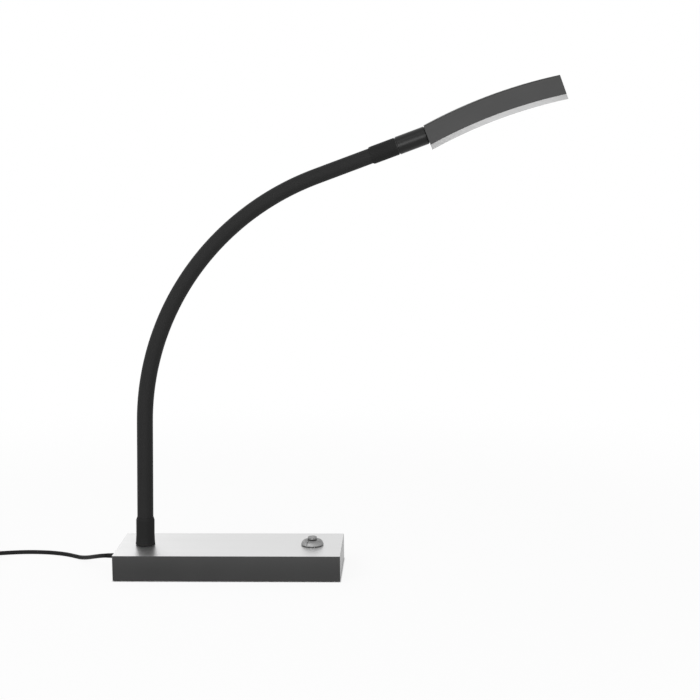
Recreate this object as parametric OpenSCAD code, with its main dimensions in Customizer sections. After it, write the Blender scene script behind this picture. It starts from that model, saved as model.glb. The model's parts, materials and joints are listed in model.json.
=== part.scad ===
// Gooseneck desk lamp: a flat weighted base, a bendable neck on its left end and a slim bowed head.
// Millimetres, +Z up, +X to the right. The origin is the centre of the base's underside, on the desk.

/* [Base] */
// Length of the base, left to right
base_l = 200; // [180:1:260]
// Depth of the base, front to back
base_w = 80; // [72:1:110]
// Height of the base over the desk
base_h = 23; // [22:0.5:32]
// Side wall of the base housing
base_wall = 3; // [2:0.5:4]
// Roof of the base housing below the top sheet
roof_t = 2.4; // [2:0.2:3.4]
// Thickness of the brushed top sheet
sheet_t = 0.3; // [0.2:0.1:1.2]
// Distance that the top sheet stands back from the housing's edges
sheet_back = 0.1; // [0.1:0.1:1.5]
// Radius on the upright corners of the base
base_corner_r = 0.8; // [0.4:0.1:2.5]
// Thickness of the steel bottom plate
bottom_t = 1.5; // [1:0.5:2]
// Thickness of the foot pad
pad_t = 2; // [1.8:0.1:3]
// Height of the housing's lower edge over the desk
shadow_gap = 0.8; // [0.4:0.2:1.4]
// Length of the ballast block
ballast_l = 72; // [50:1:78]
// Depth of the ballast block
ballast_w = 62; // [40:1:64]

/* [Neck] */
// Distance from the base's left end to the neck's axis
neck_inset = 23.35; // [22:0.05:40]
// Lean of the neck towards the head where it leaves the base
neck_lean = 1.22; // [0:0.02:3]
// Radius of the rubber sleeve
sleeve_r = 7; // [6.2:0.1:7.3]
// Radius of the steel core in the sleeve
core_r = 4.5; // [3.5:0.1:5]
// Radius of the passage for the leads in the core
lead_bore_r = 2; // [1:0.1:2.4]
// Straight stretch of the neck above the lower cuff
neck_rise = 86.5; // [30:0.5:160]
// Radius of the bend, on the neck's axis
neck_bend_r = 234.9; // [150:0.1:320]
// Angle from upright that the neck reaches at its upper end
neck_tilt = 70; // [40:1:100]
// Straight stretch of the neck below the upper cuff
neck_reach = 51; // [30:1:120]
// Gap between the ball end of one link and the socket of the next
joint_gap = 0.4; // [0.3:0.05:0.6]

/* [Cuffs and swivel] */
// Height of the lower cuff
lower_cuff_h = 25.7; // [20:0.1:40]
// Radius of the lower cuff
lower_cuff_r = 8.2; // [7.7:0.1:10]
// Flare of the lower cuff at its foot
cuff_flare = 0.55; // [0.1:0.05:2]
// Length of the upper cuff
upper_cuff_l = 23.6; // [20:0.1:40]
// Radius of the upper cuff
upper_cuff_r = 7.7; // [7.6:0.1:10]
// Length of the barrel between the upper cuff and the head, with its washers
barrel_l = 27.8; // [24:0.1:40]
// Radius of the barrel
barrel_r = 7.9; // [7.4:0.1:8.2]
// Radius of the spigot that the barrel turns on
spigot_r = 4; // [3:0.1:4.5]

/* [Head] */
// Length of the head along its chord
head_l = 122; // [90:1:200]
// Width of the head across the light
head_w = 44; // [34:1:60]
// Depth of the head housing
head_h = 16.8; // [16.4:0.1:24]
// Rise of the bow over the chord
head_rise = 4.3; // [2:0.1:12]
// Wall of the head housing
head_wall = 2; // [1.5:0.1:3]
// Radius on the long upper edges of the head
head_edge_r = 1; // [0.5:0.1:1.5]
// Thickness of the light plate's visible edge
plate_t = 4.4; // [3:0.1:6]
// Number of lamps in each of the two rows
lamp_count = 12; // [6:1:18]

/* [Dimmer] */
// Distance from the base's right end to the dial's axis
dial_inset = 26.5; // [24:0.5:34]
// Radius of the dial's rim
dial_r = 10; // [9:0.1:12]
// Radius of the dial's flat top
dial_top_r = 6.2; // [5:0.1:7.5]
// Height of the dial's top over the base
dial_h = 4.9; // [3.4:0.1:5.4]
// Radius of the power button
button_r = 4; // [3.6:0.1:4.8]
// Height of the button's top over the base
button_h = 7.6; // [7:0.1:9]
// Travel of the power button
button_travel = 0.5; // [0.3:0.1:0.6]

/* [Cord] */
// Diameter of the cord
cord_d = 3.8; // [3:0.1:4]
// Height of the cord's exit over the desk
cord_z = 12.6; // [10:0.1:15]
// Length of the wall-plug supply
supply_l = 46; // [40:1:60]
// Width of the wall-plug supply
supply_w = 30; // [26:1:36]

/* [Hidden] */
$fn = 64;
eps = 0.01;
over = 1; // how far a cutting tool runs past the face that it cuts

// clearances
slip = 0.3; // between a plate and the wall round it
seat = 0.05; // round a shaft, a core or a screw in its hole
swivel_gap = 0.1; // between the swivel washer and the barrel
dial_gap = 0.5; // under the dial

// lower edge of a leaning shape, sunk so that a level cut trims it
sunk = 1;

// heights in the base
floor_z = pad_t + bottom_t;
sheet_z = base_h - sheet_t;
roof_z = sheet_z - roof_t;

// screws of the base: four in the corners
base_screw_r = 1.5;
base_head_r = 2.8;
base_head_h = 1.4;
boss_r = 4.5;
boss_inset = 9;
base_screw_l = 8;

// dimmer and its board
dial_x = base_l / 2 - dial_inset;
shaft_r = 3;
shaft_bore_r = 1.5;
bush_r = 3.5;
bush_h = 1.5;
dimmer_side = 14;
board_t = 1.6;
board_l = 40;
board_w = 56;
board_z = roof_z - 9.6;
board_x = dial_x - 8;
post_r = 3;
post_inset = 4;
board_screw_r = 1.2;

// neck
neck_x = neck_inset - base_l / 2;
neck_arc = neck_bend_r * (neck_tilt - neck_lean) * PI / 180;
neck_len = neck_rise + neck_arc + neck_reach;
bend_links = 8; // links round the bend; one more stands straight below them
hinge_pitch = neck_arc / bend_links;
last_hinge = bend_links + 2;
socket_r = sleeve_r + joint_gap * 3 / 4;
ball_r = socket_r - joint_gap;
stud_r = 5;
collar_h = 8;
core_grip = 6; // how deep the core sits in each ferrule
washer_t = 1.5;
neck_nut_h = 5;
neck_nut_r = 8.7;

// swivel, measured from the start of the upper cuff
sleeve_grip = 8;
washer_gap_t = 0.8;
washer_r = 7.2;
barrel_s = upper_cuff_l + washer_gap_t + swivel_gap;
head_s = upper_cuff_l + barrel_l;
head_washer_t = 0.6;
barrel_bore_l = 9;
barrel_floor = 4;
ring_t = 1;
ring_r = 5.6;
groove_r = 3.4;
stub_r = 5;
barrel_nut_h = 3;
barrel_nut_r = 7;

// head, in its own frame: x along the chord, z up
bow_r = (pow(head_l / 2, 2) + pow(head_rise, 2)) / (2 * head_rise);
bow_z = head_h / 2 + head_rise - bow_r;
bow_half = asin((head_l / 2 + over) / (bow_r - head_h - plate_t));
under_r = bow_r - head_h;
cavity_w = head_w - 2 * head_wall;
heat_t = 3;
led_board_t = 1.2;
led_h = 0.8;
led_side = 3;
land_h = 1.5;
inside_l = 11; // room left at the barrel's nut
heat_r = bow_r - head_wall;
led_board_r = heat_r - heat_t;
led_r = led_board_r - led_board_t;

// cord: the free lead from the gland to the coil, each point as distance from the base, offset
// towards the back and share of the exit's height
cord_r = cord_d / 2;
wall_x = -base_l / 2;
gland_l = 12;
lead_run = [
    [gland_l, 0, 1], [14.5, 0.8, 0.972], [18, 3, 0.897], [22.6, 7.2, 0.748], [27.6, 13.4, 0.542],
    [32.6, 20, 0.327], [37.8, 26.6, 0.14], [42.8, 31.8, 0.028], [48, 36.3, 0], [54, 40.6, 0],
    [60.5, 44.2, 0], [68, 47.2, 0], [76, 49.3, 0], [84, 50.4, 0], [92, 50.8, 0], [100, 50.4, 0],
    [108, 49.2, 0], [116, 47.5, 0], [124, 45.6, 0], [132, 44, 0], [140, 43, 0], [148, 42.6, 0],
    [152, 42.5, 0], [156, 42.5, 0]];
lead_points = [for (p = lead_run) [wall_x - p[0], p[1], cord_r + p[2] * (cord_z - cord_r)]];
// coil: piled turns that spiral in, climb one layer and spiral out again
coil_x = wall_x - 156;
coil_y = 15;
coil_out_r = 27.5;
turn_pitch = 5;
layer_pitch = 4.5;
spiral_turns = 2.5;
climb_turns = 0.5;
layer_turns = spiral_turns + climb_turns;
coil_turns = 11.25;
loop_rings = 24;
tail_l = 11;
coil_end_r = coil_out_r - turn_pitch * (spiral_turns - (coil_turns - 3 * layer_turns));
coil_end_z = cord_r + 3 * layer_pitch;
relief_l = 20;
supply_y = coil_y - tail_l - relief_l;
supply_x = coil_x - coil_end_r;
supply_h = 2 * coil_end_z;
cover_t = 5;

// ---- shared shapes ----

module rounded_rect(l, w, r) {
    square([l - 2 * r, w], center = true);
    square([l, w - 2 * r], center = true);
    for (sx = [-1, 1], sy = [-1, 1])
        translate([sx * (l / 2 - r), sy * (w / 2 - r)]) circle(r = r);
}

module plate(l, w, h, r) {
    linear_extrude(height = h) rounded_rect(l, w, r);
}

module corners(l, w) {
    for (sx = [-1, 1], sy = [-1, 1]) translate([sx * l / 2, sy * w / 2, 0]) children();
}

module base_corners() {
    corners(base_l - 2 * boss_inset, base_w - 2 * boss_inset) children();
}

module board_corners() {
    translate([board_x, 0, 0])
        corners(board_l - 2 * post_inset, board_w - 2 * post_inset) children();
}

module tube(h, r_out, r_in) {
    difference() {
        cylinder(h = h, r = r_out);
        translate([0, 0, -over]) cylinder(h = h + 2 * over, r = r_in);
    }
}

module hex_nut(h, corner_r, bore_r) {
    difference() {
        cylinder(h = h, r = corner_r, $fn = 6);
        translate([0, 0, -over]) cylinder(h = h + 2 * over, r = bore_r);
    }
}

// ---- base ----

module foot_pad() {
    color("#26272a")
    difference() {
        plate(base_l - 2 * (base_wall + slip), base_w - 2 * (base_wall + slip), pad_t, base_corner_r);
        base_corners() translate([0, 0, -over]) cylinder(h = pad_t + 2 * over, r = base_head_r + 1);
    }
}

module bottom_plate() {
    color("#8c8f93")
    difference() {
        translate([0, 0, pad_t])
            plate(base_l - 2 * (base_wall + slip), base_w - 2 * (base_wall + slip), bottom_t, base_corner_r);
        base_corners() cylinder(h = floor_z + over, r = base_screw_r + seat);
    }
}

module base_screws() {
    color("#b9bcc0")
    base_corners() {
        translate([0, 0, pad_t]) cylinder(h = base_screw_l, r = base_screw_r);
        difference() {
            translate([0, 0, pad_t - base_head_h]) cylinder(h = base_head_h, r = base_head_r);
            translate([0, 0, pad_t - base_head_h - over]) cylinder(h = over + 0.8, r = 1.2, $fn = 6);
        }
    }
}

module ballast() {
    color("#55575a")
    translate([-16, 0, floor_z]) plate(ballast_l, ballast_w, roof_z - floor_z - slip, 2);
}

module base_housing() {
    color("#454648")
    difference() {
        union() {
            difference() {
                translate([0, 0, shadow_gap]) plate(base_l, base_w, sheet_z - shadow_gap, base_corner_r);
                translate([0, 0, -over])
                    plate(base_l - 2 * base_wall, base_w - 2 * base_wall, roof_z + over, base_corner_r);
            }
            base_corners() translate([0, 0, floor_z]) cylinder(h = sheet_z - floor_z - roof_t / 2, r = boss_r);
            board_corners()
                translate([0, 0, board_z + board_t])
                    cylinder(h = sheet_z - board_z - board_t - roof_t / 2, r = post_r);
        }
        base_corners() cylinder(h = pad_t + base_screw_l + 1, r = base_screw_r + seat);
        board_corners() translate([0, 0, board_z]) cylinder(h = board_t + 5, r = board_screw_r + seat);
        translate([neck_x, 0, roof_z - over]) cylinder(h = roof_t + 2 * over, r = stud_r + seat);
        translate([dial_x, 0, roof_z - over]) cylinder(h = roof_t + 2 * over, r = bush_r + seat);
        translate([-base_l / 2 - over, 0, cord_z]) rotate([0, 90, 0])
            cylinder(h = base_wall + 2 * over, r = gland_r + seat);
    }
}

module top_sheet() {
    color("#c9cacc")
    difference() {
        translate([0, 0, sheet_z])
            plate(base_l - 2 * sheet_back, base_w - 2 * sheet_back, sheet_t, base_corner_r);
        translate([neck_x, 0, sheet_z - over]) cylinder(h = sheet_t + 2 * over, r = stud_r + seat);
        translate([dial_x, 0, sheet_z - over]) cylinder(h = sheet_t + 2 * over, r = bush_r + seat);
    }
}

// the gland's neck fills the hole in the wall and its tapered relief runs out along the cord
gland_r = 2.9;
gland_flange_r = 4.2;
gland_flange_t = 1;
module cord_gland() {
    color("#1d1e20")
    translate([-base_l / 2, 0, cord_z]) rotate([0, 90, 0]) rotate_extrude()
        polygon([
            [0, -gland_l],
            [cord_r + 0.1, -gland_l],
            [cord_r + 0.45, -gland_flange_t],
            [gland_flange_r, -gland_flange_t],
            [gland_flange_r, 0],
            [gland_r, 0],
            [gland_r, base_wall],
            [gland_flange_r, base_wall],
            [gland_flange_r, base_wall + 2],
            [0, base_wall + 2]]);
}

// ---- dimmer ----

module dimmer_board() {
    color("#2e6b45")
    difference() {
        translate([board_x, 0, board_z]) plate(board_l, board_w, board_t, 1);
        board_corners() translate([0, 0, board_z - over])
            cylinder(h = board_t + 2 * over, r = board_screw_r + seat);
    }
}

module board_parts() {
    top = board_z + board_t;
    color("#33383c") translate([board_x - 10, -12, top]) cylinder(h = 6.5, r = 5);
    color("#8a5a34") translate([board_x - 10, 10, top]) tube(5.5, 6.5, 3);
    color("#202224") translate([board_x + 5, -15, top]) plate(8, 6, 1.8, 0.4);
    color("#e6e2d4") translate([board_x + 4, 17, top]) plate(12, 7, 6, 0.5);
}

module board_screws() {
    color("#b9bcc0")
    board_corners() {
        translate([0, 0, board_z]) cylinder(h = board_t + 4, r = board_screw_r);
        translate([0, 0, board_z - 1.3]) cylinder(h = 1.3, r = 2.2);
    }
}

module dimmer_body() {
    board_top = board_z + board_t;
    bore_floor = board_top + 1.2;
    color("#3a3d40")
    difference() {
        union() {
            translate([dial_x, 0, board_top])
                plate(dimmer_side, dimmer_side, roof_z - board_top, 0.6);
            translate([dial_x, 0, roof_z - 1]) cylinder(h = base_h + bush_h - roof_z + 1, r = bush_r);
        }
        translate([dial_x, 0, bore_floor])
            cylinder(h = base_h + bush_h - bore_floor + over, r = shaft_r + seat);
    }
}

module dimmer_nut() {
    color("#a7aaad")
    translate([dial_x, 0, base_h]) hex_nut(bush_h - 0.1, 5.8, bush_r + seat);
}

module dial() {
    rim_h = 0.6;
    bore_z = bush_h + 0.2;
    mark_angle = -27;
    color("#8e9094")
    translate([dial_x, 0, base_h])
    difference() {
        rotate_extrude() polygon(concat(
            [[shaft_r, dial_h], [shaft_r, bore_z], [dial_r - 1.6, bore_z], [dial_r - 1.6, dial_gap],
             [dial_r, dial_gap], [dial_r, dial_gap + rim_h]],
            [for (a = [20:14:90])
                [dial_top_r + (dial_r - 0.3 - dial_top_r) * cos(a),
                 dial_gap + rim_h + (dial_h - dial_gap - rim_h) * sin(a)]]));
        rotate([0, 0, mark_angle]) translate([-0.3, -dial_r, bore_z + 0.5])
            cube([0.6, (dial_r - dial_top_r) / 2, dial_h]);
    }
}

module dial_shaft() {
    low = board_z + board_t + 1.4;
    color("#b4b7ba")
    translate([dial_x, 0, low]) tube(base_h + dial_h - low, shaft_r, shaft_bore_r);
}

module power_button() {
    cap_low = dial_h + button_travel + 0.1;
    stem_low = board_z + board_t + 1.2 + button_travel + 0.1;
    dome = 0.5;
    color("#9a9ca0")
    translate([dial_x, 0, base_h]) {
        rotate_extrude() polygon([
            [0, cap_low], [button_r, cap_low], [button_r, button_h - dome],
            [button_r - 0.15, button_h - 0.2], [button_r - 0.5, button_h], [0, button_h]]);
        translate([0, 0, stem_low - base_h])
            cylinder(h = base_h + cap_low - stem_low + eps, r = shaft_bore_r - 0.15);
    }
}

// ---- neck: its axis runs up, round the bend and out to the head ----

function bend_angle(s) = neck_lean + (s - neck_rise) / neck_bend_r * 180 / PI;
function tilt_at(s) = max(neck_lean, min(neck_tilt, bend_angle(s)));
function below_bend(s) = lower_cuff_h + min(s, neck_rise);
function past_bend(s) = max(0, s - neck_rise - neck_arc);
function x_at(s) = neck_x + below_bend(s) * sin(neck_lean)
    + neck_bend_r * (cos(neck_lean) - cos(tilt_at(s))) + past_bend(s) * sin(neck_tilt);
function z_at(s) = base_h + below_bend(s) * cos(neck_lean)
    + neck_bend_r * (sin(tilt_at(s)) - sin(neck_lean)) + past_bend(s) * cos(neck_tilt);
function hinge_s(k) = neck_rise + (k - 2) * hinge_pitch;

module along(s) {
    translate([x_at(s), 0, z_at(s)]) rotate([0, tilt_at(s), 0]) children();
}

// a leaning shape on the base's top, trimmed level with it
module on_base() {
    difference() {
        along(-lower_cuff_h) children();
        translate([neck_x - base_w / 2, -base_w / 2, base_h - 3 * sunk])
            cube([base_w, base_w, 3 * sunk]);
    }
}

// round bar along the neck: straight below and above the bend, a piece of a ring on it
module neck_bar(from, to, past, r) {
    middle = (from + to) / 2;
    if (middle < neck_rise || middle > neck_rise + neck_arc)
        along(from) translate([0, 0, -past[0]]) cylinder(h = to - from + past[0] + past[1], r = r);
    else
        translate([x_at(neck_rise) + neck_bend_r * cos(neck_lean), 0,
            z_at(neck_rise) - neck_bend_r * sin(neck_lean)])
            rotate([90, 0, 0]) rotate([0, 0, 180 - bend_angle(to + past[1])])
                rotate_extrude(angle = bend_angle(to + past[1]) - bend_angle(from - past[0]), $fn = 360)
                    translate([neck_bend_r, 0]) circle(r = r, $fn = 64);
}

// a link runs from one hinge to the next: a socket at its lower end, a ball at its upper one
module link(from, to, r_out, r_in, socket, ball) {
    reach = ball ? ball_r + over : 0;
    difference() {
        neck_bar(from, to, [0, reach], r_out);
        neck_bar(from, to, [over, reach + over], r_in);
        if (socket) along(from) sphere(r = socket_r);
        if (ball) along(to) difference() {
            cylinder(h = 2 * ball_r, r = 2 * ball_r);
            sphere(r = ball_r);
        }
    }
}

module neck_sleeve(k) {
    color("#2b2c2e") link(hinge_s(k), hinge_s(k + 1), sleeve_r, core_r + seat, true, true);
}

module neck_core(k) {
    color("#9b9da0") link(hinge_s(k), hinge_s(k + 1), core_r, lead_bore_r, true, true);
}

module sleeve_foot() {
    color("#2b2c2e")
        link(collar_h - lower_cuff_h, hinge_s(1), sleeve_r, core_r + seat, false, true);
}

module core_foot() {
    color("#9b9da0")
        link(collar_h - core_grip - lower_cuff_h, hinge_s(1), core_r, lead_bore_r, false, true);
}

module sleeve_end() {
    color("#2b2c2e")
        link(hinge_s(last_hinge), neck_len + sleeve_grip, sleeve_r, core_r + seat, true, false);
}

module core_end() {
    color("#9b9da0")
        link(hinge_s(last_hinge), neck_len + sleeve_grip + core_grip, core_r, lead_bore_r, true, false);
}

module neck_ferrule() {
    low = roof_z - washer_t - neck_nut_h - 1;
    color("#a7aaad")
    difference() {
        union() {
            translate([neck_x, 0, low]) cylinder(h = base_h - low + eps, r = stud_r);
            on_base() translate([0, 0, -sunk]) cylinder(h = collar_h + sunk, r = sleeve_r);
        }
        translate([neck_x, 0, low - over])
            cylinder(h = base_h + collar_h - low + 2 * over, r = lead_bore_r);
        along(collar_h - core_grip - lower_cuff_h) cylinder(h = core_grip + over, r = core_r + seat);
    }
}

module neck_washer() {
    color("#b9bcc0")
    translate([neck_x, 0, roof_z - washer_t]) tube(washer_t, 9.5, stud_r + seat);
}

module neck_nut() {
    color("#b9bcc0")
    translate([neck_x, 0, roof_z - washer_t - neck_nut_h]) hex_nut(neck_nut_h, neck_nut_r, stud_r + seat);
}

module lower_cuff() {
    bore = sleeve_r + seat;
    shoulder = 2.7;
    foot_r = lower_cuff_r + cuff_flare;
    undercut = 0.8;
    color("#232425")
    on_base() rotate_extrude() polygon([
        [bore, -sunk], [foot_r - undercut, -sunk], [foot_r - undercut, 0], [foot_r, undercut],
        [lower_cuff_r + cuff_flare * 0.4, 4], [lower_cuff_r, 10],
        [lower_cuff_r, lower_cuff_h - shoulder], [bore + 0.2, lower_cuff_h], [bore, lower_cuff_h]]);
}

// ---- cuff and swivel at the upper end, measured along the axis from the cuff's start ----

module upper_end() {
    along(neck_len) children();
}

module upper_cuff() {
    bore = sleeve_r + seat;
    shoulder = 1.3;
    color("#232425")
    upper_end() rotate_extrude() polygon([
        [bore, 0], [bore + 0.2, 0], [upper_cuff_r, shoulder],
        [upper_cuff_r, upper_cuff_l], [bore, upper_cuff_l]]);
}

module top_ferrule() {
    spigot_l = barrel_s + barrel_bore_l + 3;
    color("#a7aaad")
    upper_end() difference() {
        union() {
            translate([0, 0, sleeve_grip]) cylinder(h = upper_cuff_l - sleeve_grip, r = sleeve_r);
            translate([0, 0, sleeve_grip]) cylinder(h = spigot_l - sleeve_grip, r = spigot_r);
        }
        translate([0, 0, barrel_s + barrel_bore_l + 0.5]) tube(ring_t, spigot_r + over, groove_r);
        translate([0, 0, sleeve_grip - over]) cylinder(h = core_grip + over, r = core_r + seat);
        cylinder(h = spigot_l + over, r = lead_bore_r);
    }
}

module spigot_ring() {
    color("#c4c6c9")
    upper_end() translate([0, 0, barrel_s + barrel_bore_l + 0.5]) tube(ring_t, ring_r, groove_r + seat);
}

module swivel_washer() {
    color("#0f0f10")
    upper_end() translate([0, 0, upper_cuff_l]) tube(washer_gap_t, washer_r, spigot_r + seat);
}

module barrel() {
    barrel_end = head_s - head_washer_t;
    stub_end = head_s + head_wall + barrel_nut_h + 1;
    edge = 0.3;
    color("#2a2b2d")
    upper_end() difference() {
        rotate_extrude() polygon([
            [0, barrel_s], [barrel_r - edge, barrel_s], [barrel_r, barrel_s + edge],
            [barrel_r, barrel_end - edge], [barrel_r - edge, barrel_end],
            [stub_r, barrel_end], [stub_r, stub_end], [0, stub_end]]);
        translate([0, 0, barrel_s - over]) cylinder(h = barrel_bore_l + 2 * over, r = spigot_r + seat);
        translate([0, 0, barrel_s + barrel_bore_l])
            cylinder(h = barrel_end - barrel_floor - barrel_s - barrel_bore_l, r = ring_r + 0.7);
        translate([0, 0, barrel_end - barrel_floor - over]) cylinder(h = stub_end, r = lead_bore_r);
    }
}

module barrel_washer() {
    color("#0f0f10")
    upper_end() translate([0, 0, head_s - head_washer_t]) tube(head_washer_t, washer_r, stub_r + seat);
}

module barrel_nut() {
    color("#b9bcc0")
    upper_end() translate([0, 0, head_s + head_wall]) rotate([0, 0, 30])
        hex_nut(barrel_nut_h, barrel_nut_r, stub_r + seat);
}

// ---- head, built in its own frame ----

module at_head() {
    upper_end() translate([0, 0, head_s]) rotate([0, -90, 0]) children();
}

// sweeps a profile round the bow: x is the distance from the bow's centre, y runs across the head
module bow() {
    translate([head_l / 2, 0, bow_z]) rotate([90, 0, 0]) rotate([0, 0, 90 - bow_half])
        rotate_extrude(angle = 2 * bow_half, $fn = 720) children();
}

// keeps the part of a bow between two square cuts
module between(x0, x1) {
    intersection() {
        children();
        translate([x0, -head_w, -head_h]) cube([x1 - x0, 2 * head_w, 3 * head_h]);
    }
}

module bow_strip(r0, r1, w) {
    bow() translate([r0, -w / 2]) square([r1 - r0, w]);
}

module housing_profile() {
    translate([under_r, -head_w / 2]) square([head_h - head_edge_r, head_w]);
    translate([under_r, -head_w / 2 + head_edge_r]) square([head_h, head_w - 2 * head_edge_r]);
    for (side = [-1, 1])
        translate([bow_r - head_edge_r, side * (head_w / 2 - head_edge_r)]) circle(r = head_edge_r);
}

module head_housing() {
    color("#525355")
    at_head() difference() {
        between(0, head_l) bow() housing_profile();
        between(head_wall, head_l - head_wall) bow_strip(under_r - over, bow_r - head_wall, cavity_w);
        translate([-over, 0, 0]) rotate([0, 90, 0]) cylinder(h = head_wall + 2 * over, r = stub_r + seat);
        screw_places() translate([0, 0, -6]) cylinder(h = 7, r = 1 + seat);
    }
}

// four screws hold the lamp board and the heat bar to the roof; z is 0 on the roof's inner face
module screw_places() {
    for (x = [inside_l + 8, head_l - inside_l - 2], y = [-1, 1])
        translate([x, y * (cavity_w / 2 - 4), 0])
            translate([0, 0, bow_z + sqrt(pow(heat_r, 2) - pow(x - head_l / 2, 2))]) children();
}

module heat_bar() {
    color("#b9bbbe")
    at_head() difference() {
        between(inside_l, head_l - head_wall - 3) bow_strip(led_board_r, heat_r, cavity_w - 2 * slip);
        screw_places() translate([0, 0, -6]) cylinder(h = 8, r = 1 + seat);
    }
}

module led_board() {
    color("#e9e9e4")
    at_head() difference() {
        between(inside_l + 1, head_l - head_wall - 4) bow_strip(led_r, led_board_r, cavity_w - 4);
        screw_places() translate([0, 0, -8]) cylinder(h = 10, r = 1 + seat);
    }
}

module leds() {
    lit_l = head_l - 2 * inside_l - 14;
    color("#f4e39a")
    at_head()
    for (i = [0:lamp_count - 1], y = [-1, 1]) {
        turn = asin(((i / (lamp_count - 1) - 0.5) * lit_l + 3) / led_r);
        translate([head_l / 2, 0, bow_z]) rotate([0, turn, 0])
            translate([-led_side / 2, y * cavity_w / 6 - led_side / 2, led_r - led_h - 0.01])
                cube([led_side, led_side, led_h]);
    }
}

module head_screws() {
    color("#b9bcc0")
    at_head() screw_places() {
        translate([0, 0, -heat_t - led_board_t - 0.2]) cylinder(h = heat_t + led_board_t + 1, r = 1);
        translate([0, 0, -heat_t - led_board_t - 1.4]) cylinder(h = 1.2, r = 2);
    }
}

module light_plate() {
    color("#d8d8d6", 0.9)
    at_head() {
        between(0, head_l) bow_strip(under_r - plate_t, under_r, head_w);
        between(inside_l, head_l - head_wall - slip)
            bow_strip(under_r - 1, under_r + land_h, cavity_w - 2 * slip);
    }
}

// ---- cord ----

function unit(v) = v / norm(v);
function heading(p, i) = unit(p[min(i + 1, len(p) - 1)] - p[max(i - 1, 0)]);

// a round tube of so many sides along points that never run straight up
module cord_tube(points, r, sides, first, last) {
    n = len(points);
    rings = [for (i = [0:n - 1])
        let(d = i == 0 ? first : i == n - 1 ? last : heading(points, i),
            side = unit(cross([0, 0, 1], d)),
            up = cross(d, side))
        for (k = [0:sides - 1])
            points[i] + r * (cos(k * 360 / sides) * side + sin(k * 360 / sides) * up)];
    walls = [for (i = [0:n - 2], k = [0:sides - 1])
        let(a = i * sides + k, b = i * sides + (k + 1) % sides)
        each [[a, b, a + sides], [b, b + sides, a + sides]]];
    caps = concat(
        [for (k = [1:sides - 2]) [0, k + 1, k]],
        [for (k = [1:sides - 2]) [0, k, k + 1] + [1, 1, 1] * (n - 1) * sides]);
    polyhedron(points = rings, faces = concat(walls, caps), convexity = 10);
}

module cord_lead() {
    color("#1d1e20") cord_tube(lead_points, cord_r, 8, [-1, 0, 0], [-1, 0, 0]);
}

// place on the coil after t turns
function coil_point(t) =
    let(layer = floor(t / layer_turns + eps / 100),
        u = t - layer * layer_turns,
        wound = turn_pitch * min(u, spiral_turns),
        r = layer % 2 == 0 ? coil_out_r - wound : coil_out_r - turn_pitch * spiral_turns + wound,
        lift = max(0, (u - spiral_turns) / climb_turns),
        a = 90 + 360 * t)
    [coil_x + r * cos(a), coil_y + r * sin(a),
     cord_r + layer_pitch * (layer + lift * lift * (3 - 2 * lift))];
coil_steps = round(coil_turns * loop_rings);
coil_points = concat(
    [for (i = [0:coil_steps]) coil_point(i * coil_turns / coil_steps)],
    [for (y = [0.5, 1]) [coil_x - coil_end_r, coil_y - y * tail_l, coil_end_z]]);
coil_gap = min([for (i = [0:coil_steps - 8], j = [i + 8:coil_steps])
    norm(coil_points[i] - coil_points[j])]) - cord_d;
echo(least_gap_in_coil = coil_gap);

module cord_coil() {
    color("#1d1e20") cord_tube(coil_points, cord_r, 6, [-1, 0, 0], [0, -1, 0]);
}

module supply_case() {
    color("#1b1c1e")
    translate([supply_x, supply_y, 0]) {
        translate([cover_t / 2, -supply_l / 2, supply_h / 2]) rotate([0, 90, 0])
            translate([0, 0, -(supply_w - cover_t) / 2]) plate(supply_h, supply_l, supply_w - cover_t, 3);
        translate([0, 0, supply_h / 2]) rotate([-90, 0, 0])
            translate([0, 0, -2]) cylinder(h = relief_l + 2, r1 = cord_r + 2.6, r2 = cord_r + 0.3);
    }
}

module supply_cover() {
    color("#232427")
    translate([supply_x - supply_w / 2, supply_y - supply_l / 2, supply_h / 2]) rotate([0, 90, 0])
        plate(supply_h, supply_l, cover_t, 3);
}

module supply_pins() {
    pin_r = 2;
    pin_l = 19;
    pin_spacing = 19;
    color("#c4c6c9")
    for (y = [-1, 1])
        translate([supply_x - supply_w / 2, supply_y - supply_l / 2 + y * pin_spacing / 2, supply_h / 2])
            rotate([0, -90, 0]) {
                cylinder(h = pin_l - pin_r, r = pin_r);
                translate([0, 0, pin_l - pin_r]) sphere(r = pin_r);
            }
}

foot_pad();
bottom_plate();
base_screws();
ballast();
base_housing();
top_sheet();
dimmer_board();
board_parts();
board_screws();
dimmer_body();
dimmer_nut();
cord_gland();
dial();
dial_shaft();
power_button();
neck_ferrule();
neck_washer();
neck_nut();
lower_cuff();
core_foot();
sleeve_foot();
for (k = [1:9]) neck_core(k);
for (k = [1:9]) neck_sleeve(k);
core_end();
sleeve_end();
upper_cuff();
top_ferrule();
spigot_ring();
swivel_washer();
barrel();
barrel_washer();
barrel_nut();
head_housing();
heat_bar();
led_board();
leds();
head_screws();
light_plate();
cord_lead();
cord_coil();
supply_case();
supply_cover();
supply_pins();
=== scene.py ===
import json
import math

import bmesh
import bpy
from mathutils import Matrix, Vector


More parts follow.
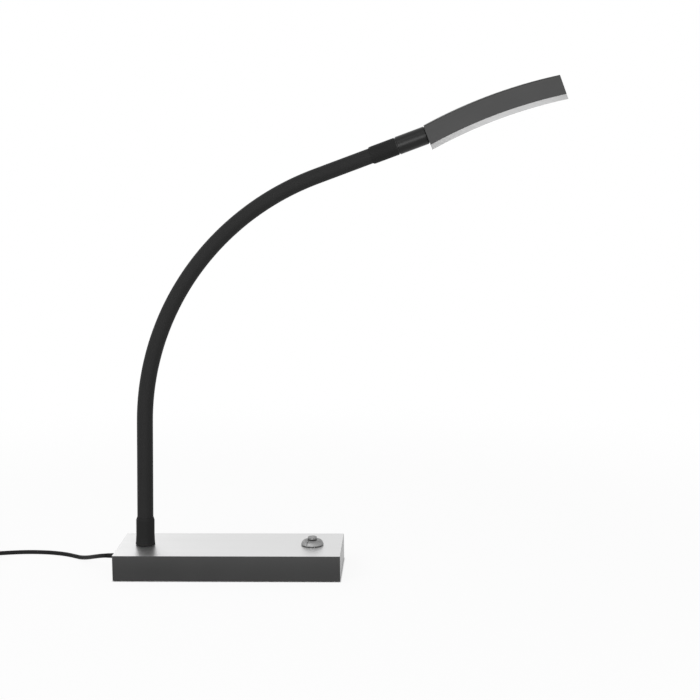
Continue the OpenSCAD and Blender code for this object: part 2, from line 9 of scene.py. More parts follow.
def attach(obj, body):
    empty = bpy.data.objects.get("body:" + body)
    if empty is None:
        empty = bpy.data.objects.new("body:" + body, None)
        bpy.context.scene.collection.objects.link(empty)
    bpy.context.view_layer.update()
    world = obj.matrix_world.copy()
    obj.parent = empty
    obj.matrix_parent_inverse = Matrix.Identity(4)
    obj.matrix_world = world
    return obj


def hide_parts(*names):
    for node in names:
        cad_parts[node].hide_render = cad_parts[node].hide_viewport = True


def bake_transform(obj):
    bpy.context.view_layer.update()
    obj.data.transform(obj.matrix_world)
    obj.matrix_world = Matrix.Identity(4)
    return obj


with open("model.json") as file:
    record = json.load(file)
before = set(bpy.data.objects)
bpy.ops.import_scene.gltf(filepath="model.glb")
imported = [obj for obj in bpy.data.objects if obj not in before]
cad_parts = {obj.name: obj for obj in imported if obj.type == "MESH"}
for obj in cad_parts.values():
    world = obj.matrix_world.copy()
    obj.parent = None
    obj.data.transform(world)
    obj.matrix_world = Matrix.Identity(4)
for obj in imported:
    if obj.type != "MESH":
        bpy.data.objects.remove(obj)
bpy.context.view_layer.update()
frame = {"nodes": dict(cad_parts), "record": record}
scene = bpy.context.scene
mm = 0.001
white = (1, 1, 1, 1)
dialCentre = (73.5, 0.0)  # mm, the dial's axis seen from above
neckTilt = 70.0  # degrees from upright at the neck's upper end, and so of barrel and head

cameraSettings = {
    "place": (0.168, -1.4554, 0.4112),
    "turnLeft": 2.336,  # degrees from straight along +Y
    "tiltDown": 8.291,
    "roll": 0.489,
    "focalInPixels": 1675.5,
    "pictureWidth": 700,
    "sensorWidth": 36,
}


def placeCamera(s):
    data = bpy.data.cameras.new("viewCamera")
    data.sensor_fit = "HORIZONTAL"
    data.sensor_width = s["sensorWidth"]
    data.lens = s["focalInPixels"] / s["pictureWidth"] * s["sensorWidth"]
    camera = bpy.data.objects.new("viewCamera", data)
    scene.collection.objects.link(camera)
    turn = Matrix.Rotation(math.radians(s["turnLeft"]), 4, "Z")
    tilt = Matrix.Rotation(math.radians(90 - s["tiltDown"]), 4, "X")
    # the roll is about the line of sight, which is the camera's own -Z
    roll = Matrix.Rotation(math.radians(-s["roll"]), 4, "Z")
    camera.matrix_world = Matrix.Translation(s["place"]) @ turn @ tilt @ roll
    scene.camera = camera


placeCamera(cameraSettings)
print("camera placed")


class Wire:
    # a shader socket that can stand in a sum; a number beside it is fine
    def __init__(self, tree, socket):
        self.tree = tree
        self.socket = socket

    def maths(self, operation, other=0.0, swapped=False):
        first, second = (other, self) if swapped else (self, other)
        return self.tree.node("ShaderNodeMath", {"operation": operation}, {0: first, 1: second})

    def __add__(self, other):
        return self.maths("ADD", other)

    def __radd__(self, other):
        return self.maths("ADD", other, True)

    def __sub__(self, other):
        return self.maths("SUBTRACT", other)

    def __rsub__(self, other):
        return self.maths("SUBTRACT", other, True)

    def __mul__(self, other):
        return self.maths("MULTIPLY", other)

    def __rmul__(self, other):
        return self.maths("MULTIPLY", other, True)

    def __truediv__(self, other):
        return self.maths("DIVIDE", other)

    def __rtruediv__(self, other):
        return self.maths("DIVIDE", other, True)

    def __pow__(self, other):
        return self.maths("POWER", other)

    def __rpow__(self, other):
        return self.maths("POWER", other, True)

    def __abs__(self):
        return self.maths("ABSOLUTE")

    def most(self, other):
        return self.maths("MAXIMUM", other)

    def clamped(self):
        return self.tree.node("ShaderNodeClamp", {}, {"Value": self})


class ShaderTree:
    # the nodes of a material or of the world, with its main shader
    def __init__(self, owner, shader="Principled BSDF", **sockets):
        owner.use_nodes = True
        self.owner = owner
        self.nodes = owner.node_tree.nodes
        self.links = owner.node_tree.links
        self.shader = self.nodes[shader]
        self.place = None
        self.relief = None
        for key, value in sockets.items():
            self.shader.inputs[key.replace("_", " ")].default_value = value

    def node(self, kind, settings=None, sockets=None, out=0):
        made = self.nodes.new(kind)
        for key, value in (settings or {}).items():
            setattr(made, key, value)
        for key, value in (sockets or {}).items():
            if isinstance(value, Wire):
                self.links.new(value.socket, made.inputs[key])
            else:
                made.inputs[key].default_value = value
        return Wire(self, made.outputs[out])

    def set(self, name, wire):
        self.links.new(wire.socket, self.shader.inputs[name])

    def where(self, stretch=(1, 1, 1), turn=(0, 0, 0), start=(0, 0, 0)):
        # rest position on the object in metres, moved to start, turned and stretched
        if self.place is None:
            self.place = self.node("ShaderNodeTexCoord", out="Object")
        moved = self.node("ShaderNodeMapping", {"vector_type": "TEXTURE"}, {
            "Vector": self.place, "Location": start, "Rotation": turn})
        return self.node("ShaderNodeMapping", {"vector_type": "POINT"}, {
            "Vector": moved, "Scale": stretch})

    def parts(self, vector):
        split = self.node("ShaderNodeSeparateXYZ", {}, {0: vector})
        return [Wire(self, socket) for socket in split.socket.node.outputs]

    def noise(self, scale, detail, stretch=(1, 1, 1), turn=(0, 0, 0)):
        return self.node("ShaderNodeTexNoise", {}, {
            "Vector": self.where(stretch, turn), "Scale": scale, "Detail": detail})

    def eased(self, value, start, end, low, high):
        # low until start, high from end on, and an easy change between them
        return self.node("ShaderNodeMapRange", {"interpolation_type": "SMOOTHSTEP"}, {
            "Value": value, "From Min": start, "From Max": end, "To Min": low, "To Max": high})

    def between(self, share, low, high):
        # a colour between two, by a share from 0 to 1
        return self.node("ShaderNodeMix", {"data_type": "RGBA"}, {0: share, 6: low, 7: high}, out=2)

    def greys(self, share, dark, pale):
        self.set("Base Color", self.between(share, grey(dark), grey(pale)))

    def bump(self, height, strength, depth):
        # depth in metres; a second bump lies on the first
        sockets = {"Height": height, "Strength": strength, "Distance": depth}
        if self.relief is not None:
            sockets["Normal"] = self.relief
        self.relief = self.node("ShaderNodeBump", {}, sockets)
        self.set("Normal", self.relief)


def newFinish(name, **sockets):
    return ShaderTree(bpy.data.materials.new(name), **sockets)


def grey(value):
    return (value, value, value, 1)


def newPiece(name, mesh, finish):
    piece = bpy.data.objects.new(name, mesh)
    scene.collection.objects.link(piece)
    mesh.materials.append(finish)
    return piece


print("material tools ready")

studio = {
    "floorWidth": 9.0,
    "floorWhite": 0.93,
    "shadowKept": 0.09,  # how much of the true shadow shows on the white floor
    "shadowReach": (0.35, 0.9),  # metres from the lamp over which even that fades
    "contactHalf": (0.1, 0.04),  # under the base the shadow is the true one
    "contactFade": (-0.0004, 0.0012),  # metres past the base's outline over which it turns pale
    "worldForView": 1.0,
    "worldForLight": 0.52,
    "lamps": {  # place, aimed at, size, power
        "keyLamp": ((-1.3, -1.4, 1.5), (0.0, 0.0, 0.18), 2.0, 18.0),
        "frontLamp": ((0.22, -1.8, 0.40), (0.1, 0.0, 0.28), 1.1, 12.0),
        "backLamp": ((-0.9, 1.5, 1.0), (0.0, 0.0, 0.2), 1.2, 4.0),
    },
}


def seenWhite(tree):
    # 1 for rays from the camera and for those that a shiny surface sends on
    path = tree.node("ShaderNodeLightPath").socket.node
    camera, glossy, passed = (Wire(tree, path.outputs[f"Is {kind} Ray"])
                              for kind in ("Camera", "Glossy", "Transmission"))
    return camera.most(glossy).most(passed)


def makeWorld(s):
    scene.world = bpy.data.worlds.new("softStudio")
    sky = ShaderTree(scene.world, "Background", Color=white)
    more = s["worldForView"] - s["worldForLight"]
    sky.set("Strength", s["worldForLight"] + more * seenWhite(sky))


def makeFloor(s):
    half = s["floorWidth"] / 2
    corners = [(-half, -half, 0), (half, -half, 0), (half, half, 0), (-half, half, 0)]
    mesh = bpy.data.meshes.new("studioFloor")
    mesh.from_pydata(corners, [], [(0, 1, 2, 3)])
    matt = newFinish("paleFloor", Base_Color=grey(s["floorWhite"]), Roughness=1,
                     Specular_IOR_Level=0)
    place = matt.where()
    x, y, _ = matt.parts(place)
    halfLength, halfWidth = s["contactHalf"]
    beyond = (abs(x) - halfLength).most(abs(y) - halfWidth)
    contact = matt.eased(beyond, *s["contactFade"], 0.0, 1.0)
    away = matt.node("ShaderNodeVectorMath", {"operation": "LENGTH"}, {0: place}, out="Value")
    plain = matt.eased(away, *s["shadowReach"], 1 - s["shadowKept"], 1.0)
    glow = matt.node("ShaderNodeEmission", {}, {"Color": white})
    surface = matt.node("ShaderNodeMixShader", {}, {
        0: seenWhite(matt) * plain * contact, 1: Wire(matt, matt.shader.outputs[0]), 2: glow})
    matt.links.new(surface.socket, matt.nodes["Material Output"].inputs["Surface"])
    floor = newPiece("studioFloor", mesh, matt.owner)


def makeLamps(s):
    for name, (place, target, size, power) in s["lamps"].items():
        data = bpy.data.lights.new(name, "AREA")
        data.shape = "DISK"
        data.size = size
        data.energy = power
        lamp = bpy.data.objects.new(name, data)
        scene.collection.objects.link(lamp)
        aim = (Vector(target) - Vector(place)).to_track_quat("-Z", "Y")
        lamp.matrix_world = Matrix.Translation(place) @ aim.to_matrix().to_4x4()


makeWorld(studio)
makeFloor(studio)
makeLamps(studio)
scene.view_settings.view_transform = "Standard"
print("floor and light made")


def paintedBase():
    f = newFinish("satinPaint", Specular_IOR_Level=0.34, Coat_Weight=0.42, Coat_Roughness=0.08)
    grain = f.noise(scale=2600, detail=2)
    cloud = f.noise(scale=22, detail=3)
    # painted light and shade: the base colour is paler towards the housing's upper edge and darker
    # towards its foot, standing in for how light falls on the sides
    foot, paintedLightSpan = 0.001, 0.022  # metres
    _, _, height = f.parts(f.where())
    rise = ((height - foot) / paintedLightSpan).clamped()
    # the share mixes painted light and shade from the height with random tone from the cloud noise
    paintedShadeAndTone = (rise * rise * 0.75 + (cloud - 0.35) * 0.4).clamped()
    f.greys(paintedShadeAndTone, dark=0.004, pale=0.025)
    f.set("Roughness", 0.34 + grain * 0.14 + cloud * 0.05)
    f.bump(grain, strength=0.22, depth=0.00012)
    return f.owner


def brushedSheet():
    f = newFinish("brushedAluminium")
    # brush lines run along the base; the sheet's cut edge is as dark as the housing
    fine = f.noise(scale=900, detail=3, stretch=(0.02, 1, 1))
    long = f.noise(scale=160, detail=4, stretch=(0.03, 1, 1))
    cloud = f.noise(scale=9, detail=2)
    _, _, up = f.parts(f.node("ShaderNodeNewGeometry", out="True Normal"))
    face = up.maths("GREATER_THAN", 0.5)
    mixed = (0.3 * fine + 0.4 * long + 0.3 * cloud).clamped()
    f.set("Base Color", f.between(face, grey(0.03), f.between(mixed, grey(0.61), grey(0.73))))
    f.set("Metallic", face)
    f.set("Roughness", 0.24 + 0.14 * fine + 0.06 * long)
    f.bump(fine, strength=0.30, depth=0.00005)
    f.bump(long, strength=0.18, depth=0.00008)
    return f.owner


def sleeveRubber():
    f = newFinish("sleeveRubber", Specular_IOR_Level=0.13)
    grain = f.noise(scale=3200, detail=2)
    patch = f.noise(scale=45, detail=3)
    f.greys((patch * 0.8 + grain * 0.2).clamped(), dark=0.013, pale=0.0195)
    f.set("Roughness", 0.56 + 0.12 * patch + 0.06 * grain)
    f.bump(grain, strength=0.25, depth=0.0001)
    f.bump(patch, strength=0.12, depth=0.0003)
    return f.owner


def cuffRubber():
    f = newFinish("cuffRubber", Specular_IOR_Level=0.1)
    grain = f.noise(scale=2400, detail=3)
    f.greys(f.noise(scale=70, detail=2), dark=0.0115, pale=0.0165)
    f.set("Roughness", 0.58 + 0.14 * grain)
    f.bump(grain, strength=0.35, depth=0.00014)
    return f.owner


headTurn = (0, math.radians(neckTilt - 90), 0)  # lays X along the barrel and the head


def barrelBlack():
    f = newFinish("barrelBlack", Specular_IOR_Level=0.27)
    # fine turning marks round the barrel's axis
    lines = f.noise(scale=900, detail=2, stretch=(1, 0.05, 0.05), turn=headTurn)
    grain = f.noise(scale=3000, detail=2)
    f.greys(lines, dark=0.004, pale=0.006)
    f.set("Roughness", 0.30 + 0.05 * lines + 0.02 * grain)
    f.bump(lines, strength=0.05, depth=0.00003)
    return f.owner


def anodisedHead():
    f = newFinish("anodisedHead", Metallic=0.2, Specular_IOR_Level=0.3)
    fine = f.noise(scale=1100, detail=3, stretch=(0.04, 1, 1), turn=headTurn)
    blast = f.noise(scale=3800, detail=2)
    cloud = f.noise(scale=26, detail=2)
    f.greys((0.5 * fine + 0.5 * cloud).clamped(), dark=0.026, pale=0.036)
    f.set("Roughness", 0.36 + 0.10 * fine + 0.06 * blast)
    f.bump(blast, strength=0.16, depth=0.00008)
    f.bump(fine, strength=0.10, depth=0.00004)
    return f.owner


def frostedPlate():
    f = newFinish("frostedPlate", Specular_IOR_Level=0.45, Subsurface_Weight=0.3,
                  Subsurface_Scale=0.003, Subsurface_Radius=(1, 1, 1))
    frost = f.noise(scale=5200, detail=2)
    cloud = f.noise(scale=30, detail=3)
    # painted shade: the plate's colour is a little darker towards its two ends
    middle, endShadeFall = 0.243, 135.0  # metres along X, and how fast it darkens with distance squared
    x, _, _ = f.parts(f.where(start=(middle, 0, 0)))
    end = (x * x * endShadeFall).clamped()
    # grey(0.27) is the painted shade that the ends fade to
    f.set("Base Color", f.between(end, f.between(cloud, grey(0.45), grey(0.52)), grey(0.27)))
    f.set("Roughness", 0.36 + 0.16 * frost)
    f.bump(frost, strength=0.14, depth=0.00006)
    return f.owner


def turnedDial():
    f = newFinish("turnedDial", Metallic=1.0, Anisotropic=0.8)
    # turning marks lie in rings round the dial's own axis
    x, y, _ = f.parts(f.where(start=(dialCentre[0] * mm, 0, 0)))
    out = (x * x + y * y) ** 0.5
    rings = f.node("ShaderNodeTexNoise", {"noise_dimensions": "1D"}, {
        "W": out, "Scale": 9000, "Detail": 2})
    cloud = f.noise(scale=160, detail=2)
    f.greys((0.6 * rings + 0.4 * cloud).clamped(), dark=0.21, pale=0.32)
    f.set("Roughness", 0.40 + 0.12 * rings)
    f.bump(rings, strength=0.15, depth=0.00003)
    return f.owner


def platedSteel(name, dark, pale, rough):
    f = newFinish(name, Metallic=1.0)
    grain = f.noise(scale=700, detail=3)
    cloud = f.noise(scale=60, detail=2)
    f.greys((0.4 * grain + 0.6 * cloud).clamped(), dark, pale)
    f.set("Roughness", rough - 0.08 + 0.18 * cloud)
    f.bump(grain, strength=0.12, depth=0.0001)
    return f.owner


def mouldedBlack(name, dark, pale, rough, grainScale):
    f = newFinish(name, Specular_IOR_Level=0.4)
    grain = f.noise(scale=grainScale, detail=3)
    f.greys(f.noise(scale=40, detail=2), dark, pale)
    f.set("Roughness", rough - 0.06 + 0.14 * grain)
    f.bump(grain, strength=0.3, depth=0.00015)
    return f.owner


def castIron():
    f = newFinish("castIron", Metallic=0.6)
    lumps = f.noise(scale=240, detail=5)
    f.greys(lumps, dark=0.08, pale=0.16)
    f.set("Roughness", 0.6 + 0.25 * lumps)
    f.bump(lumps, strength=0.6, depth=0.0006)
    return f.owner


def padFoam():
    f = newFinish("padFoam", Specular_IOR_Level=0.15)
    cells = f.node("ShaderNodeTexVoronoi", {}, {"Vector": f.where(), "Scale": 900})
    f.greys(cells, dark=0.012, pale=0.035)
    f.set("Roughness", 0.8 + 0.15 * cells)
    f.bump(cells, strength=0.5, depth=0.0003)
    return f.owner


def circuitBoard(name, dark, pale):
    f = newFinish(name)
    weave = f.node("ShaderNodeTexChecker", {}, {"Vector": f.where(), "Scale": 2500}, out="Fac")
    cloud = f.noise(scale=90, detail=2)
    f.set("Base Color", f.between((0.7 * cloud + 0.2 * weave).clamped(), dark, pale))
    f.set("Roughness", 0.3 + 0.12 * weave)
    f.bump(weave, strength=0.1, depth=0.00004)
    return f.owner


def lampFaces():
    f = newFinish("lampFaces")
    gel = f.noise(scale=1800, detail=2)
    f.set("Base Color", f.between(gel, (0.78, 0.62, 0.16, 1), (0.88, 0.74, 0.26, 1)))
    f.set("Roughness", 0.14 + 0.14 * gel)
    f.bump(gel, strength=0.1, depth=0.00005)
    return f.owner


def cordJacket():
    f = newFinish("cordJacket", Specular_IOR_Level=0.12)
    grain = f.noise(scale=2600, detail=2)
    f.greys(f.noise(scale=60, detail=2), dark=0.007, pale=0.011)
    f.set("Roughness", 0.5 + 0.12 * grain)
    f.bump(grain, strength=0.22, depth=0.00012)
    return f.owner


finishes = {
    "base_paint": paintedBase(),
    "brushed_top": brushedSheet(),
    "steel_part": platedSteel("platedSteel", 0.50, 0.66, rough=0.34),
    "ballast_iron": castIron(),
    "foot_foam": padFoam(),
    "board_green": circuitBoard("greenBoard", (0.015, 0.08, 0.035, 1), (0.03, 0.14, 0.06, 1)),
    "board_white": circuitBoard("whiteBoard", (0.62, 0.62, 0.59, 1), (0.74, 0.74, 0.71, 1)),
    "part_black": mouldedBlack("mouldedParts", 0.02, 0.04, rough=0.45, grainScale=1800),
    "satin_metal": turnedDial(),
    "sleeve_rubber": sleeveRubber(),
    "cuff_rubber": cuffRubber(),
    "core_steel": platedSteel("brightSteel", 0.55, 0.70, rough=0.28),
    "barrel_black": barrelBlack(),
    "washer_black": mouldedBlack("blackNylon", 0.005, 0.009, rough=0.5, grainScale=2600),
    "head_anodised": anodisedHead(),
    "heat_metal": platedSteel("milledAluminium", 0.62, 0.78, rough=0.36),
    "lamp_lens": lampFaces(),
    "light_frosted": frostedPlate(),
    "cord_black": cordJacket(),
    "supply_black": mouldedBlack("supplyShell", 0.012, 0.020, rough=0.5, grainScale=2200),
    "pin_metal": platedSteel("nickelPins", 0.62, 0.74, rough=0.2),
}

slotOf = {part["node"]: part["material_slot"] for part in frame["record"]["subparts"]}
for name, solid in frame["nodes"].items():
    solid.data.materials.clear()
    solid.data.materials.append(finishes[slotOf[name]])
print("finishes on the solids:", len(frame["nodes"]))


def ringsToMesh(name, rings, closedEnds):
    # rings of the same number of points become a smooth skin
    mesh = bpy.data.meshes.new(name)
    sides = len(rings[0])
    points = [p for ring in rings for p in ring]
    faces = []
    for i in range(len(rings) - 1):
        for k in range(sides):
            a, b = i * sides + k, i * sides + (k + 1) % sides
            faces.append((a, b, b + sides, a + sides))
    if closedEnds:
        last = (len(rings) - 1) * sides
        faces.append(tuple(range(sides - 1, -1, -1)))
        faces.append(tuple(range(last, last + sides)))
    mesh.from_pydata(points, [], faces)
    for face in mesh.polygons:
        face.use_smooth = len(face.vertices) == 4
    return mesh


def tidyMesh(mesh, sharpAngle):
    # outward faces, smooth but for the edges that turn by more than the angle
    work = bmesh.new()
    work.from_mesh(mesh)
    bmesh.ops.remove_doubles(work, verts=work.verts, dist=1e-7)
    bmesh.ops.recalc_face_normals(work, faces=work.faces)
    for face in work.faces:
        face.smooth = True
    for edge in work.edges:
        if len(edge.link_faces) == 2:
            edge.smooth = edge.calc_face_angle() < math.radians(sharpAngle)
    work.to_mesh(mesh)
    work.free()


def joinMeshes(name, meshes):
    joined = bmesh.new()
    for mesh in meshes:
        joined.from_mesh(mesh)
        bpy.data.meshes.remove(mesh)
    whole = bpy.data.meshes.new(name)
    joined.to_mesh(whole)
    joined.free()
    return whole


def circle(sides):
    # cosine and sine at each corner of a ring with that many sides
    turns = [2 * math.pi * k / sides for k in range(sides)]
    return [(math.cos(a), math.sin(a)) for a in turns]


cordSettings = {
    "diameter": 3.8,
    "sides": 14,
    "step": 2.6,
    # from the relief in the base's left wall to the coil
    "lead": [
        (-112, 0, 12.6), (-114.5, 0.8, 12.3), (-118, 3, 11.5), (-122.6, 7.2, 9.9),
        (-127.6, 13.4, 7.7), (-132.6, 20, 5.4), (-137.8, 26.6, 3.4), (-142.8, 31.8, 2.2),
        (-148, 36.3, 1.9), (-154, 40.6, 1.9), (-160.5, 44.2, 1.9), (-168, 47.2, 1.9),
        (-176, 49.3, 1.9), (-184, 50.4, 1.9), (-192, 50.8, 1.9), (-200, 50.4, 1.9),
        (-208, 49.2, 1.9), (-216, 47.5, 1.9), (-224, 45.6, 1.9), (-232, 44, 1.9),
        (-240, 43, 1.9), (-248, 42.6, 1.9), (-252, 42.5, 1.9), (-256, 42.5, 1.9)],
    "coilCentre": (-256, 15),
    "startAngle": 90,  # degrees round the coil from +X, where the lead comes in
    "outerRadius": 27.5,
    "turnPitch": 5.0,
    "layerPitch": 4.5,
    "spiralTurns": 2.5,  # a layer winds in or out over these, then climbs to the next
    "climbTurns": 0.5,
    "turns": 11.25,
    "pointsPerTurn": 40,
    "tail": 11.0,
}


def coilLine(s):
    layerTurns = s["spiralTurns"] + s["climbTurns"]
    count = round(s["turns"] * s["pointsPerTurn"])
    inner = s["outerRadius"] - s["turnPitch"] * s["spiralTurns"]
    cx, cy = s["coilCentre"]
    rounding = 1e-7  # a layer's first point counts with that layer
    line = []
    for i in range(count + 1):
        turn = i * s["turns"] / count
        layer = math.floor(turn / layerTurns + rounding)
        past = turn - layer * layerTurns
        wound = s["turnPitch"] * min(past, s["spiralTurns"])
        r = s["outerRadius"] - wound if layer % 2 == 0 else inner + wound
        lift = max(0.0, (past - s["spiralTurns"]) / s["climbTurns"])
        climbed = layer + lift * lift * (3 - 2 * lift)
        angle = math.radians(s["startAngle"] + 360 * turn)
        line.append((cx + r * math.cos(angle), cy + r * math.sin(angle),
                     s["diameter"] / 2 + s["layerPitch"] * climbed))
    x, y, z = line[-1]
    return line + [(x, y - s["tail"] / 2, z), (x, y - s["tail"], z)]


def smoothLine(points, step):
    # an even walk along a Catmull-Rom curve through the points
    p = [Vector(q) for q in points]
    p = [2 * p[0] - p[1]] + p + [2 * p[-1] - p[-2]]
    fine = []
    for i in range(1, len(p) - 2):
        pieces = max(2, math.ceil((p[i + 1] - p[i]).length / (step / 4)))
        for k in range(pieces):
            t = k / pieces
            fine.append(0.5 * (2 * p[i] + (p[i + 1] - p[i - 1]) * t
                               + (2 * p[i - 1] - 5 * p[i] + 4 * p[i + 1] - p[i + 2]) * t * t
                               + (3 * p[i] - p[i - 1] - 3 * p[i + 1] + p[i + 2]) * t * t * t))
    fine.append(p[-2])
    lengths = [0.0]
    for a, b in zip(fine, fine[1:]):
        lengths.append(lengths[-1] + (b - a).length)
    count = round(lengths[-1] / step)
    even, at = [], 0
    for i in range(count + 1):
        want = lengths[-1] * i / count
        while at < len(fine) - 2 and lengths[at + 1] < want:
            at += 1
        share = (want - lengths[at]) / max(1e-9, lengths[at + 1] - lengths[at])
        even.append(fine[at].lerp(fine[at + 1], min(1.0, share)))
    return even, lengths[-1]


def tubeRings(line, radius, sides):
    rings = []
    for i, p in enumerate(line):
        way = (line[min(i + 1, len(line) - 1)] - line[max(i - 1, 0)]).normalized()
        side = Vector((0, 0, 1)).cross(way).normalized()
        up = way.cross(side)
        rings.append([(p + radius * (c * side + s * up)) * mm for c, s in circle(sides)])
    return rings


def makeCord(s):
    line, length = smoothLine(s["lead"][:-1] + coilLine(s), s["step"])
    mesh = ringsToMesh("cord", tubeRings(line, s["diameter"] / 2, s["sides"]), True)
    cord = newPiece("cord", mesh, finishes["cord_black"])
    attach(cord, "base")
    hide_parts("cord_lead", "cord_coil")
    print("cord made, mm:", round(length))
    return cord, line


cord, cordLine = makeCord(cordSettings)

# wall-plug supply: a shell with a seam, and a ribbed relief on the cord
supply = {
    "centre": (-282.25, -39.0, 15.4),  # the relief and the pins are on this centre's lines
    "length": 46.0,
    "height": 30.8,
    "cornerRadius": 5.0,
    "leastCorner": 1.5,
    "cornerSteps": 7,
    # places across the width: x, how far the outline stands in there
    "sections": [
        (-15.0, 2.2), (-14.85, 1.4), (-14.5, 0.75), (-13.9, 0.25), (-13.2, 0.0),
        (-10.25, 0.0), (-10.1, 0.45), (-9.8, 0.45), (-9.65, 0.0), (4.0, 0.25), (11.2, 0.45),
        (12.6, 0.7), (13.8, 1.3), (14.6, 2.2), (14.95, 3.2), (15.0, 3.9)],
    "reliefSunk": 1.0,  # how far the relief starts inside the shell
    "reliefReach": 20.9,
    "reliefRadii": (4.3, 2.45),
    "reliefLip": 0.3,
    "ribCount": 8,
    "ribShape": ((0.12, 0), (0.52, 0), (0.62, 1), (0.9, 1)),  # place in a rib, 1 in its groove
    "grooveDepth": 0.65,
    "sides": 32,
}


def roundedOutline(length, height, radius, steps):
    # points round a rectangle with round corners, as pairs
    outline = []
    for corner, (sy, sz) in enumerate(((1, 1), (-1, 1), (-1, -1), (1, -1))):
        for k in range(steps + 1):
            a = math.pi / 2 * (corner + k / steps)
            outline.append((sy * (length / 2 - radius) + radius * math.cos(a),
                            sz * (height / 2 - radius) + radius * math.sin(a)))
    return outline


def supplyRings(s):
    rings = []
    cx, cy, cz = s["centre"]
    for x, inset in s["sections"]:
        corner = max(s["leastCorner"], s["cornerRadius"] - inset)
        outline = roundedOutline(s["length"] - 2 * inset, s["height"] - 2 * inset, corner,
                                 s["cornerSteps"])
        rings.append([Vector((cx + x, cy + y, cz + z)) * mm for y, z in outline])
    return rings


def reliefRings(s):
    # ribs that get smaller towards the cord
    thick, thin = s["reliefRadii"]
    profile = [(0.0, thick)]
    for rib in range(s["ribCount"]):
        for part, groove in s["ribShape"]:
            share = (rib + part) / s["ribCount"]
            depth = groove * s["grooveDepth"] * (1 - 0.5 * share)
            profile.append((share, thick + (thin - thick) * share - depth))
    profile.append((1.0, thin - s["reliefLip"]))
    cx, cy, cz = s["centre"]
    start = cy + s["length"] / 2 - s["reliefSunk"]
    rings = []
    for share, radius in profile:
        y = start + share * s["reliefReach"]
        rings.append([Vector((cx + radius * across, y, cz + radius * up)) * mm
                      for across, up in circle(s["sides"])])
    return rings


def makeSupply(s):
    mesh = joinMeshes("supplyShell", [ringsToMesh("supplyBox", supplyRings(s), True),
                                      ringsToMesh("supplyRibs", reliefRings(s), True)])
    tidyMesh(mesh, sharpAngle=40)
    shell = newPiece("supplyShell", mesh, finishes["supply_black"])
    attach(shell, "base")
    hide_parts("supply_case", "supply_cover")


# a painted line from the dial's rim up over its dome
pointer = {
    "turn": -27.0,  # degrees from straight towards the viewer
    "halfWidth": 0.32,
    "topShare": 0.8,  # the line's flat top, as a share of its width
    "proud": 0.06,
    "sunk": 0.3,
    "slant": 0.7,  # how far the section leans outwards for each step up
    "rim": (9.95, 24.2),  # radius and height where the line starts
    "dome": (6.2, 24.1),  # flat top's radius and the height where the dome starts
    "domeSize": (3.5, 3.8),
    "domeStart": 20.0,  # degrees above level
    "steps": 9,
}


def makePointer(s):
    turn = math.radians(s["turn"])
    out = Vector((math.sin(turn), -math.cos(turn), 0))
    side = Vector((math.cos(turn), math.sin(turn), 0))
    (topRadius, domeFoot), (domeWidth, domeHeight) = s["dome"], s["domeSize"]
    profile = [s["rim"]]
    for k in range(s["steps"] + 1):
        a = math.radians(s["domeStart"] + (90 - s["domeStart"]) * k / s["steps"])
        profile.append((topRadius + domeWidth * math.cos(a), domeFoot + domeHeight * math.sin(a)))
    low, high, top = -s["sunk"], s["proud"], s["topShare"]
    section = ((-1, low), (1, low), (1, 0), (top, high), (-top, high), (-1, 0))
    rings = []
    for radius, height in profile:
        foot = Vector((*dialCentre, 0)) + out * radius + Vector((0, 0, height))
        rings.append([(foot + side * across * s["halfWidth"] + Vector((0, 0, lift))
                       + out * lift * s["slant"]) * mm for across, lift in section])
    mesh = ringsToMesh("pointerLine", rings, True)
    tidyMesh(mesh, sharpAngle=30)
    line = newPiece("pointerLine", mesh, finishes["part_black"])
    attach(line, "dial")


makeSupply(supply)
makePointer(pointer)
print("supply shell and pointer made")

# tie round the coil
tie = {
    "turn": 12.0,  # degrees round the coil from +X
    "inner": (13.0, -0.1),  # from the coil's centre, and height, of the loop's inner low corner
    "outer": (29.6, 17.5),
    "thickness": 0.7,
    "width": 9.0,
    "cornerRadius": 2.6,
    "cornerSteps": 6,
    "tailStart": 3.0,  # in from the outer side
    "tailLength": 9.0,
    "tailLift": (0.8, 0.75),
    # place across the band, and outwards, as shares of its width and thickness
    "section": ((-1, 0.0), (-0.9, 0.5), (0.9, 0.5), (1, 0.0), (0.9, -0.5), (-0.9, -0.5)),
}


def tiePath(s):
    # distance from the coil's centre and height, once round the bundle and back over the top
    (r0, z0), (r1, z1) = s["inner"], s["outer"]
    middleRadius, middleHeight = (r0 + r1) / 2, (z0 + z1) / 2 + s["thickness"]
    outline = roundedOutline(r1 - r0, z1 - z0, s["cornerRadius"], s["cornerSteps"])
    loop = [(middleRadius + y, middleHeight + z) for y, z in outline + outline[:1]]
    start, top = r1 - s["tailStart"], z1 + s["thickness"]
    halfway, end = s["tailLift"]
    half = s["cornerSteps"] // 2  # the loop starts halfway round its first corner
    return [(start, top)] + loop[half:] + [
        (start, top), (start - s["tailLength"] / 2, top + halfway),
        (start - s["tailLength"], top + end)]


def makeTie(s):
    # a flat band bent round the bundle, with a free tail that lies on top
    centre = Vector((*cordSettings["coilCentre"], 0))
    turn = math.radians(s["turn"])
    radial = Vector((math.cos(turn), math.sin(turn), 0))
    across = Vector((-math.sin(turn), math.cos(turn), 0))
    path = tiePath(s)
    rings = []
    for i, (r, z) in enumerate(path):
        before, after = path[max(i - 1, 0)], path[min(i + 1, len(path) - 1)]
        way = Vector((after[0] - before[0], after[1] - before[1])).normalized()
        out = Vector((way[1], -way[0]))
        ring = []
        for side, lift in s["section"]:
            radius, height = Vector((r, z)) + out * lift * s["thickness"]
            ring.append((centre + radial * radius + across * side * s["width"] / 2
                         + Vector((0, 0, height))) * mm)
        rings.append(ring)
    mesh = ringsToMesh("cordTie", rings, True)
    tidyMesh(mesh, sharpAngle=50)
    band = newPiece("cordTie", mesh, finishes["supply_black"])
    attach(band, "base")


makeTie(tie)
print("tie made")

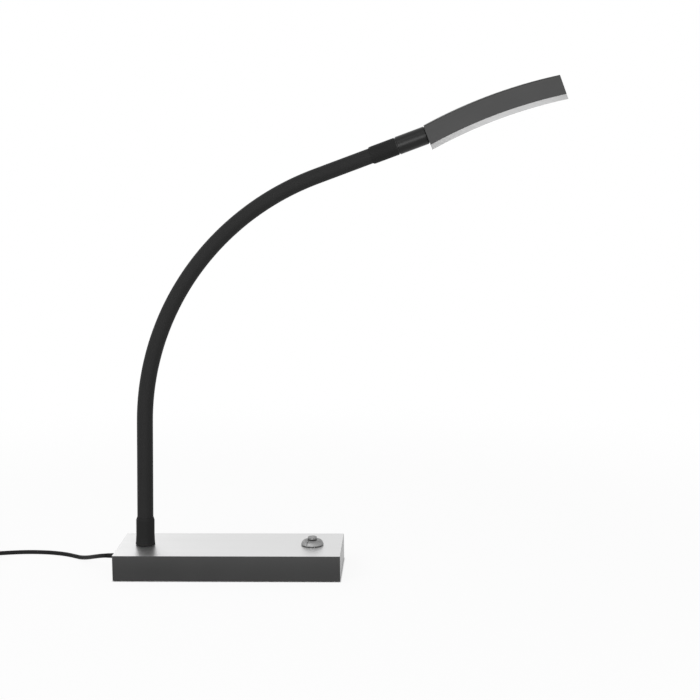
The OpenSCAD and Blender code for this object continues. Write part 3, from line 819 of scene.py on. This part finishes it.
# neck sleeve: one piece over each hinge, meeting in the middle of the links
neck = {
    "x": -76.65,
    "baseTop": 23.0,
    "cuff": 25.7,
    "lean": 1.22,
    "rise": 86.5,
    "bendRadius": 234.9,
    "tilt": neckTilt,
    "reach": 51.0,
    "hinges": 10,
    "bendLinks": 8,
    "sleeveRadii": ((0, 7.15), (190, 7.08), (300, 6.84), (420, 6.72)),  # at a distance, radius
    "sleeveWall": 1.6,
    "foot": -17.6,  # where the sleeve starts inside the lower cuff
    "endGrip": 7.9,
    "sides": 48,
    "step": 2.0,
    "blendHalf": 14.0,
}
neck["arc"] = neck["bendRadius"] * math.radians(neck["tilt"] - neck["lean"])
neck["length"] = neck["rise"] + neck["arc"] + neck["reach"]


def neckFrame(distance):
    # point, way along and way out at a distance above the lower cuff, in mm
    lean, tilt, radius = math.radians(neck["lean"]), math.radians(neck["tilt"]), neck["bendRadius"]
    bend = min(max(lean + (distance - neck["rise"]) / radius, lean), tilt)
    below = neck["cuff"] + min(distance, neck["rise"])
    past = max(0.0, distance - neck["rise"] - neck["arc"])
    x = (neck["x"] + below * math.sin(lean) + radius * (math.cos(lean) - math.cos(bend))
         + past * math.sin(bend))
    z = (neck["baseTop"] + below * math.cos(lean) + radius * (math.sin(bend) - math.sin(lean))
         + past * math.cos(bend))
    along = Vector((math.sin(bend), 0, math.cos(bend)))
    return Vector((x, 0, z)), along, Vector((-math.cos(bend), 0, math.sin(bend)))


def hingeAt(k):
    return neck["rise"] + (k - 2) * neck["arc"] / neck["bendLinks"]


def sleeveRadiusAt(distance):
    stations = neck["sleeveRadii"]
    distance = min(max(distance, stations[0][0]), stations[-1][0])
    for (d0, r0), (d1, r1) in zip(stations, stations[1:]):
        if distance <= d1:
            return r0 + (r1 - r0) * (distance - d0) / (d1 - d0)


def neckSkin(name, start, end):
    # up the outside of the wall, down its inside and round to the first ring again
    count = max(2, round((end - start) / neck["step"]))
    stations = [start + (end - start) * i / count for i in range(count + 1)]
    wall = [(d, sleeveRadiusAt(d)) for d in stations]
    wall += [(d, radius - neck["sleeveWall"]) for d, radius in reversed(wall)]
    rings = []
    for distance, radius in wall + wall[:1]:
        centre, along, out = neckFrame(distance)
        side = along.cross(out)
        rings.append([(centre + radius * (c * out + s * side)) * mm
                      for c, s in circle(neck["sides"])])
    mesh = ringsToMesh(name, rings, False)
    tidyMesh(mesh, sharpAngle=60)
    return newPiece(name, mesh, finishes["sleeve_rubber"])


def makeSleeve():
    last = neck["hinges"]
    cuts = [neck["foot"]] + [(hingeAt(k) + hingeAt(k + 1)) / 2 for k in range(1, last)]
    cuts.append(neck["length"] + neck["endGrip"])
    for k in range(1, last + 1):
        piece = neckSkin(f"sleeve_{k}", cuts[k - 1], cuts[k])
        start = neckFrame(hingeAt(k) - neck["blendHalf"])[0] * mm
        end = neckFrame(hingeAt(k) + neck["blendHalf"])[0] * mm
        replaced = [f"neck_sleeve_{k}"] if k < last else ["sleeve_end"]
        if k == 1:
            replaced.append("sleeve_foot")
        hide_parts(*replaced)
        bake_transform(piece)


makeSleeve()
print("neck sleeve made")

[p * mm for p in cordLine]
